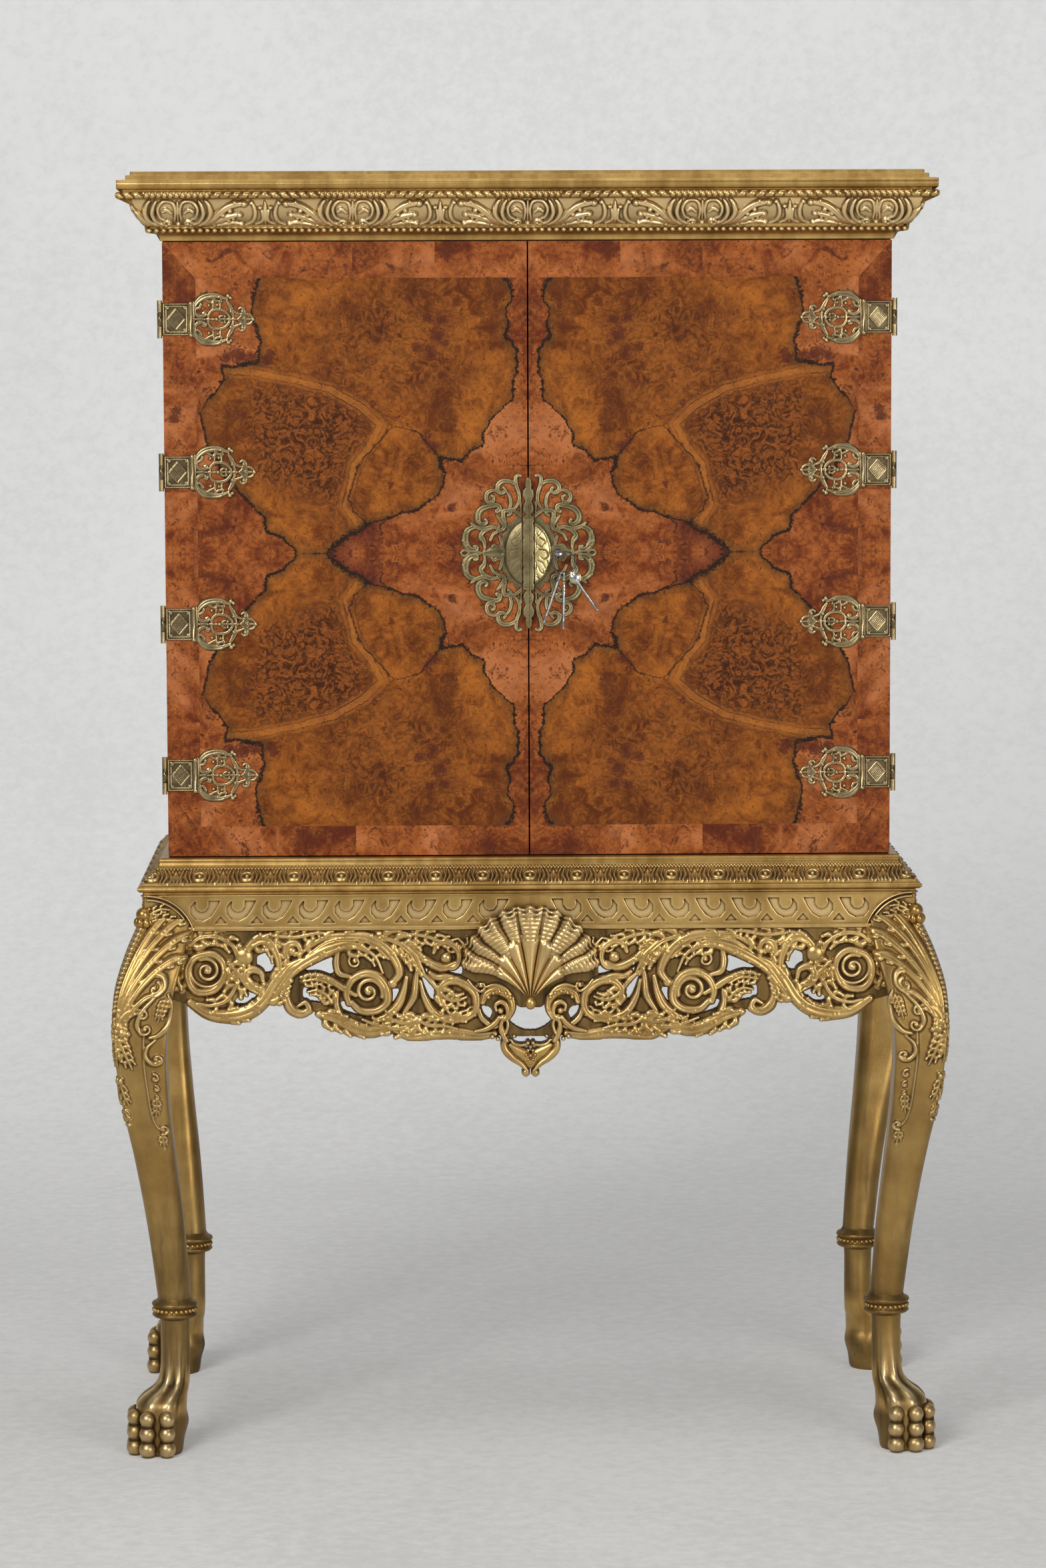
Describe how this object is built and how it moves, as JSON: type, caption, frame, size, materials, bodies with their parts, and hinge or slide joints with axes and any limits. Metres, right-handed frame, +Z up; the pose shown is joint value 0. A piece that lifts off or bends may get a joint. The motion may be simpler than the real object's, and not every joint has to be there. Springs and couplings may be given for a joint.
{
  "type": "cabinet on stand",
  "caption": "Two-door burl veneered cabinet with pierced strap hinges and a lock plate, on a carved giltwood stand with cabriole legs, paw feet and a shell on its pierced apron.",
  "frame": {"origin": "centre of the footprint, on the floor", "axes": "+Z up, doors face -Y, +X to the viewer's right; the longest extent is along Z"},
  "size_m": [1.075, 0.586, 1.65],
  "materials": {
    "gilt_wood": "aged gilding over carved wood",
    "burl_walnut": "polished veneer",
    "carcass_wood": "plain waxed",
    "antique_brass": "aged",
    "old_steel": "worn"
  },
  "bodies": {
    "stand_and_case": {"case_side_left": "burl_walnut", "case_side_right": "burl_walnut", "case_top_board": "carcass_wood", "case_bottom_board": "carcass_wood", "case_back_panel": "carcass_wood", "shelf_upper": "carcass_wood", "shelf_lower": "carcass_wood", "shelf_pegs": "carcass_wood", "cornice_front": "gilt_wood", "cornice_left": "gilt_wood", "cornice_right": "gilt_wood", "cornice_dust_board": "carcass_wood", "hinge_wings_left": "antique_brass", "hinge_wings_right": "antique_brass", "hinge_pins_left": "antique_brass", "hinge_pins_right": "antique_brass", "stand_moulding_front": "gilt_wood", "stand_moulding_back": "gilt_wood", "stand_moulding_left": "gilt_wood", "stand_moulding_right": "gilt_wood", "frieze_rail_front": "gilt_wood", "frieze_rail_back": "gilt_wood", "frieze_rail_left": "gilt_wood", "frieze_rail_right": "gilt_wood", "apron_front": "gilt_wood", "apron_left": "gilt_wood", "apron_right": "gilt_wood", "shell": "gilt_wood", "pendant": "gilt_wood", "leg_front_left": "gilt_wood", "leg_front_right": "gilt_wood", "leg_back_left": "gilt_wood", "leg_back_right": "gilt_wood", "corner_blocks": "carcass_wood", "stand_bearers": "carcass_wood"},
    "left_door": {"door_left": "burl_walnut", "hinge_strap_left_1": "antique_brass", "hinge_strap_left_2": "antique_brass", "hinge_strap_left_3": "antique_brass", "hinge_strap_left_4": "antique_brass", "lock_plate_left": "antique_brass", "closing_strip_left": "antique_brass", "door_bolt_guides": "old_steel"},
    "right_door": {"door_right": "burl_walnut", "hinge_strap_right_1": "antique_brass", "hinge_strap_right_2": "antique_brass", "hinge_strap_right_3": "antique_brass", "hinge_strap_right_4": "antique_brass", "lock_plate_right": "antique_brass", "closing_strip_right": "antique_brass", "lock_case": "old_steel"},
    "lock_key": {"key": "old_steel"},
    "lock_bolt": {"lock_bolt": "old_steel"},
    "ring": {"key_ring": "old_steel"},
    "spare_left": {"spare_key_left": "old_steel"},
    "spare_middle": {"spare_key_middle": "old_steel"},
    "spare_right": {"spare_key_right": "old_steel"},
    "upper_bolt": {"door_bolt_upper": "old_steel"},
    "lower_bolt": {"door_bolt_lower": "old_steel"}
  },
  "joints": [
    {"name": "door_left_hinge", "type": "hinge", "parent": "stand_and_case", "child": "left_door", "pos_m": [-0.4677, -0.2232, 1.169], "axis": [0, 0, -1], "range_deg": [0, 180]},
    {"name": "door_right_hinge", "type": "hinge", "parent": "stand_and_case", "child": "right_door", "pos_m": [0.4677, -0.2232, 1.169], "axis": [0, 0, 1], "range_deg": [0, 180]},
    {"name": "key_turn", "type": "hinge", "parent": "right_door", "child": "lock_key", "pos_m": [0.038, -0.22, 1.16506], "axis": [0, 1, 0], "range_deg": [0, 90]},
    {"name": "lock_bolt_throw", "type": "slide", "parent": "right_door", "child": "lock_bolt", "axis": [-1, 0, 0], "range_m": [0, 0.008]},
    {"name": "ring_swing", "type": "hinge", "parent": "right_door", "child": "ring", "pos_m": [0.0452, -0.243, 1.16776], "axis": [-1, 0, 0], "range_deg": [-3, 10]},
    {"name": "spare_key_left_swing", "type": "hinge", "parent": "ring", "child": "spare_left", "pos_m": [0.04048, -0.243, 1.13955], "axis": [-0.9455, 0, 0.3256], "range_deg": [-4, 50]},
    {"name": "spare_key_middle_swing", "type": "hinge", "parent": "ring", "child": "spare_middle", "pos_m": [0.04495, -0.243, 1.13876], "axis": [-0.9998, 0, 0.0175], "range_deg": [-4, 50]},
    {"name": "spare_key_right_swing", "type": "hinge", "parent": "ring", "child": "spare_right", "pos_m": [0.05352, -0.243, 1.14138], "axis": [-0.8192, 0, -0.5736], "range_deg": [-4, 50]},
    {"name": "door_bolt_upper_slide", "type": "slide", "parent": "left_door", "child": "upper_bolt", "axis": [0, 0, 1], "range_m": [0, 0.012]},
    {"name": "door_bolt_lower_slide", "type": "slide", "parent": "left_door", "child": "lower_bolt", "axis": [0, 0, -1], "range_m": [0, 0.012]}
  ],
  "couplings": [
    {"joint": "key_turn", "follows": "lock_bolt_throw", "rad_per_m": 196.3}
  ]
}
